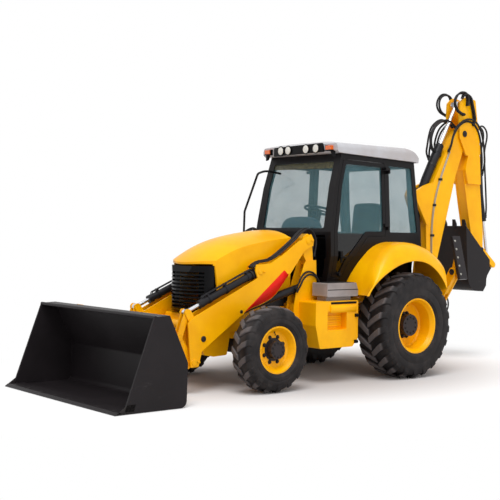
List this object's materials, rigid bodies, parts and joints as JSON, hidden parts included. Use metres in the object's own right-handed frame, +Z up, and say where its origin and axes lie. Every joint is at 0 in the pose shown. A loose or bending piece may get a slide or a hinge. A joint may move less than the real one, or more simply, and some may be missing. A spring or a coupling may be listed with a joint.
{
  "type": "backhoe loader",
  "caption": "Backhoe loader with a front loader bucket on lift arms, a closed cab, and a folded digging arm on a swinging post at the rear.",
  "frame": {"origin": "on the ground under the middle of the machine's length and width", "axes": "+Z up; -Y is the way the machine drives forward, with the loader bucket; +X is the machine's left side"},
  "size_m": [2.32, 7.172, 3.731],
  "materials": {
    "yellow_paint": "satin",
    "black_steel": "satin",
    "bucket_black": "worn",
    "tyre_rubber": "matte",
    "rim_yellow": "satin",
    "chrome_rod": "polished",
    "cab_black": "satin",
    "roof_white": "matte",
    "cab_glass": "tinted",
    "interior_plastic": "matte",
    "seat_fabric": "woven",
    "grille_black": "matte",
    "grey_plastic": "matte",
    "lamp_black": "gloss",
    "amber_lens": "gloss",
    "cast_dark": "rough",
    "engine_grey": "rough"
  },
  "bodies": {
    "chassis": {"main_frame": "yellow_paint", "front_axle": "cast_dark", "rear_axle": "cast_dark", "engine": "engine_grey", "cab_shell": "cab_black", "cab_glass": "cab_glass", "cab_roof": "roof_white", "cab_interior": "interior_plastic", "operator_seat": "seat_fabric", "rear_fenders": "yellow_paint", "side_tanks": "yellow_paint", "steps": "grey_plastic", "work_lamps": "lamp_black", "amber_lamps": "amber_lens", "grab_rail": "cab_black"},
    "loader_arms": {"loader_arms": "yellow_paint"},
    "lift_barrels": {"lift_barrels": "black_steel"},
    "lift_rods": {"lift_rods": "chrome_rod"},
    "loader_bucket": {"loader_bucket": "bucket_black", "bucket_carrier": "yellow_paint"},
    "tilt_levers": {"tilt_levers": "yellow_paint"},
    "tilt_links": {"tilt_links": "yellow_paint"},
    "tilt_barrels": {"tilt_barrels": "black_steel"},
    "tilt_rods": {"tilt_rods": "chrome_rod"},
    "hood": {"hood": "yellow_paint", "grille": "grille_black"},
    "swing_post": {"swing_post": "yellow_paint"},
    "boom": {"boom": "yellow_paint"},
    "boom_barrel": {"boom_barrel": "black_steel"},
    "boom_rod": {"boom_rod": "chrome_rod"},
    "dipper": {"dipper": "yellow_paint"},
    "dipper_barrel": {"dipper_barrel": "black_steel"},
    "dipper_rod": {"dipper_rod": "chrome_rod"},
    "hoe_bucket": {"hoe_bucket": "bucket_black"},
    "hoe_lever": {"hoe_lever": "yellow_paint"},
    "hoe_link": {"hoe_link": "black_steel"},
    "hoe_barrel": {"hoe_barrel": "black_steel"},
    "hoe_rod": {"hoe_rod": "chrome_rod"},
    "knuckle_left": {"knuckle_left": "cast_dark"},
    "front_wheel_left": {"front_tyre_left": "tyre_rubber", "front_rim_left": "rim_yellow"},
    "rear_wheel_left": {"rear_tyre_left": "tyre_rubber", "rear_rim_left": "rim_yellow"},
    "door_left": {"door_left": "cab_black", "door_glass_left": "cab_glass"},
    "stabiliser_left": {"stabiliser_left": "yellow_paint"},
    "stabiliser_left_barrel": {"stabiliser_barrel_left": "black_steel"},
    "stabiliser_left_rod": {"stabiliser_rod_left": "chrome_rod"},
    "knuckle_right": {"knuckle_right": "cast_dark"},
    "front_wheel_right": {"front_tyre_right": "tyre_rubber", "front_rim_right": "rim_yellow"},
    "rear_wheel_right": {"rear_tyre_right": "tyre_rubber", "rear_rim_right": "rim_yellow"},
    "door_right": {"door_right": "cab_black", "door_glass_right": "cab_glass"},
    "stabiliser_right": {"stabiliser_right": "yellow_paint"},
    "stabiliser_right_barrel": {"stabiliser_barrel_right": "black_steel"},
    "stabiliser_right_rod": {"stabiliser_rod_right": "chrome_rod"}
  },
  "joints": [
    {"name": "steer_left", "type": "hinge", "parent": "chassis", "child": "knuckle_left", "pos_m": [0.79, -1.3925, 0.48], "axis": [0, 0, 1], "range_deg": [-30, 30]},
    {"name": "steer_right", "type": "hinge", "parent": "chassis", "child": "knuckle_right", "pos_m": [-0.79, -1.3925, 0.48], "axis": [0, 0, 1], "range_deg": [-30.5, 30.5]},
    {"name": "front_wheel_left_spin", "type": "hinge", "parent": "knuckle_left", "child": "front_wheel_left", "pos_m": [0.86, -1.3925, 0.48], "axis": [1, 0, 0], "continuous": true},
    {"name": "rear_wheel_left_spin", "type": "hinge", "parent": "chassis", "child": "rear_wheel_left", "pos_m": [0.86, 0.7875, 0.65], "axis": [1, 0, 0], "continuous": true},
    {"name": "front_wheel_right_spin", "type": "hinge", "parent": "knuckle_right", "child": "front_wheel_right", "pos_m": [-0.86, -1.3925, 0.48], "axis": [1, 0, 0], "continuous": true},
    {"name": "rear_wheel_right_spin", "type": "hinge", "parent": "chassis", "child": "rear_wheel_right", "pos_m": [-0.86, 0.7875, 0.65], "axis": [1, 0, 0], "continuous": true},
    {"name": "arm_lift", "type": "hinge", "parent": "chassis", "child": "loader_arms", "pos_m": [0, -0.5625, 1.68], "axis": [-1, 0, 0], "range_deg": [0, 95]},
    {"name": "lift_barrel_swing", "type": "hinge", "parent": "chassis", "child": "lift_barrels", "pos_m": [0, -0.5125, 1.16], "axis": [-1, 0, 0], "range_deg": [0, 79.92]},
    {"name": "lift_rod_slide", "type": "slide", "parent": "lift_barrels", "child": "lift_rods", "axis": [0, -0.9668, -0.2554], "range_m": [0, 0.673]},
    {"name": "bucket_tilt", "type": "hinge", "parent": "loader_arms", "child": "loader_bucket", "pos_m": [0, -2.2125, 0.355], "axis": [1, 0, 0], "range_deg": [-38, 110]},
    {"name": "tilt_lever_swing", "type": "hinge", "parent": "loader_arms", "child": "tilt_levers", "pos_m": [0, -2.0975, 0.604], "axis": [1, 0, 0], "range_deg": [-35.76, 102.58]},
    {"name": "tilt_link_swing", "type": "hinge", "parent": "loader_bucket", "child": "tilt_links", "pos_m": [0, -2.3905, 0.634], "axis": [1, 0, 0], "range_deg": [-107.2, 37.36]},
    {"name": "tilt_barrel_swing", "type": "hinge", "parent": "loader_arms", "child": "tilt_barrels", "pos_m": [0, -1.2975, 1.322], "axis": [1, 0, 0], "range_deg": [-6.05, 16.56]},
    {"name": "tilt_rod_slide", "type": "slide", "parent": "tilt_barrels", "child": "tilt_rods", "axis": [0, -0.9191, -0.394], "range_m": [-0.1446, 0.4148]},
    {"name": "hood_lift", "type": "hinge", "parent": "chassis", "child": "hood", "pos_m": [0, -0.6575, 1.69], "axis": [-1, 0, 0], "range_deg": [0, 50]},
    {"name": "door_left_swing", "type": "hinge", "parent": "chassis", "child": "door_left", "pos_m": [0.715, 0.6375, 1.84], "axis": [0, 0, 1], "range_deg": [0, 75]},
    {"name": "door_right_swing", "type": "hinge", "parent": "chassis", "child": "door_right", "pos_m": [-0.715, 0.6375, 1.84], "axis": [0, 0, -1], "range_deg": [0, 75]},
    {"name": "hoe_swing", "type": "hinge", "parent": "chassis", "child": "swing_post", "pos_m": [0, 1.9575, 0.93], "axis": [0, 0, 1], "range_deg": [-90, 90]},
    {"name": "boom_lower", "type": "hinge", "parent": "swing_post", "child": "boom", "pos_m": [0, 2.1375, 0.72], "axis": [-1, 0, 0], "range_deg": [0, 120]},
    {"name": "boom_barrel_swing", "type": "hinge", "parent": "swing_post", "child": "boom_barrel", "pos_m": [0, 2.0475, 1.06], "axis": [-1, 0, 0], "range_deg": [0, 127.34]},
    {"name": "boom_rod_slide", "type": "slide", "parent": "boom_barrel", "child": "boom_rod", "axis": [0, -0.082, 0.9966], "range_m": [0, 0.5863]},
    {"name": "dipper_reach", "type": "hinge", "parent": "boom", "child": "dipper", "pos_m": [0, 2.8145, 3.203], "axis": [1, 0, 0], "range_deg": [0, 95]},
    {"name": "dipper_barrel_swing", "type": "hinge", "parent": "boom", "child": "dipper_barrel", "pos_m": [0, 2.0505, 2.373], "axis": [1, 0, 0], "range_deg": [0, 5.25]},
    {"name": "dipper_rod_slide", "type": "slide", "parent": "dipper_barrel", "child": "dipper_rod", "axis": [0, 0.5007, 0.8656], "range_m": [-0.6105, 0]},
    {"name": "hoe_bucket_curl", "type": "hinge", "parent": "dipper", "child": "hoe_bucket", "pos_m": [0, 3.2575, 1.25], "axis": [1, 0, 0], "range_deg": [0, 150]},
    {"name": "hoe_lever_swing", "type": "hinge", "parent": "dipper", "child": "hoe_lever", "pos_m": [0, 3.2475, 1.56], "axis": [1, 0, 0], "range_deg": [0, 101.75]},
    {"name": "hoe_link_swing", "type": "hinge", "parent": "hoe_bucket", "child": "hoe_link", "pos_m": [0, 3.2675, 1.01], "axis": [1, 0, 0], "range_deg": [-114.5, 0]},
    {"name": "hoe_barrel_swing", "type": "hinge", "parent": "dipper", "child": "hoe_barrel", "pos_m": [0, 3.2325, 3], "axis": [1, 0, 0], "range_deg": [0, 3.5]},
    {"name": "hoe_rod_slide", "type": "slide", "parent": "hoe_barrel", "child": "hoe_rod", "axis": [0, 0.1807, -0.9835], "range_m": [-0.5641, 0]},
    {"name": "stabiliser_left_lower", "type": "hinge", "parent": "chassis", "child": "stabiliser_left", "pos_m": [0.6, 1.5675, 0.64], "axis": [0, 1, 0], "range_deg": [0, 104]},
    {"name": "stabiliser_left_barrel_swing", "type": "hinge", "parent": "chassis", "child": "stabiliser_left_barrel", "pos_m": [0.45, 1.5675, 1.45], "axis": [0, 1, 0], "range_deg": [0, 2.58]},
    {"name": "stabiliser_left_rod_slide", "type": "slide", "parent": "stabiliser_left_barrel", "child": "stabiliser_left_rod", "axis": [0.4069, 0, -0.9135], "range_m": [0, 0.4131]},
    {"name": "stabiliser_right_lower", "type": "hinge", "parent": "chassis", "child": "stabiliser_right", "pos_m": [-0.6, 1.5675, 0.64], "axis": [0, -1, 0], "range_deg": [0, 104]},
    {"name": "stabiliser_right_barrel_swing", "type": "hinge", "parent": "chassis", "child": "stabiliser_right_barrel", "pos_m": [-0.45, 1.5675, 1.45], "axis": [0, -1, 0], "range_deg": [0, 2.58]},
    {"name": "stabiliser_right_rod_slide", "type": "slide", "parent": "stabiliser_right_barrel", "child": "stabiliser_right_rod", "axis": [-0.4069, 0, -0.9135], "range_m": [0, 0.4131]}
  ],
  "couplings": [
    {"joint": "steer_right", "follows": "steer_left", "ratio": 1},
    {"joint": "lift_barrel_swing", "follows": "arm_lift", "ratio": 0.836},
    {"joint": "lift_rod_slide", "follows": "arm_lift", "m_per_rad": 0.4047},
    {"joint": "tilt_lever_swing", "follows": "bucket_tilt", "ratio": 0.928},
    {"joint": "tilt_link_swing", "follows": "bucket_tilt", "ratio": -0.97},
    {"joint": "tilt_barrel_swing", "follows": "bucket_tilt", "ratio": 0.146},
    {"joint": "tilt_rod_slide", "follows": "bucket_tilt", "m_per_rad": 0.215},
    {"joint": "boom_barrel_swing", "follows": "boom_lower", "ratio": 1.057},
    {"joint": "boom_rod_slide", "follows": "boom_lower", "m_per_rad": 0.279},
    {"joint": "dipper_barrel_swing", "follows": "dipper_reach", "ratio": 0.05},
    {"joint": "dipper_rod_slide", "follows": "dipper_reach", "m_per_rad": -0.367},
    {"joint": "hoe_lever_swing", "follows": "hoe_bucket_curl", "ratio": 0.675},
    {"joint": "hoe_link_swing", "follows": "hoe_bucket_curl", "ratio": -0.76},
    {"joint": "hoe_barrel_swing", "follows": "hoe_bucket_curl", "ratio": 0.02},
    {"joint": "hoe_rod_slide", "follows": "hoe_bucket_curl", "m_per_rad": -0.2147},
    {"joint": "stabiliser_left_barrel_swing", "follows": "stabiliser_left_lower", "ratio": 0.02},
    {"joint": "stabiliser_left_rod_slide", "follows": "stabiliser_left_lower", "m_per_rad": 0.2265},
    {"joint": "stabiliser_right_barrel_swing", "follows": "stabiliser_right_lower", "ratio": 0.02},
    {"joint": "stabiliser_right_rod_slide", "follows": "stabiliser_right_lower", "m_per_rad": 0.2265}
  ]
}
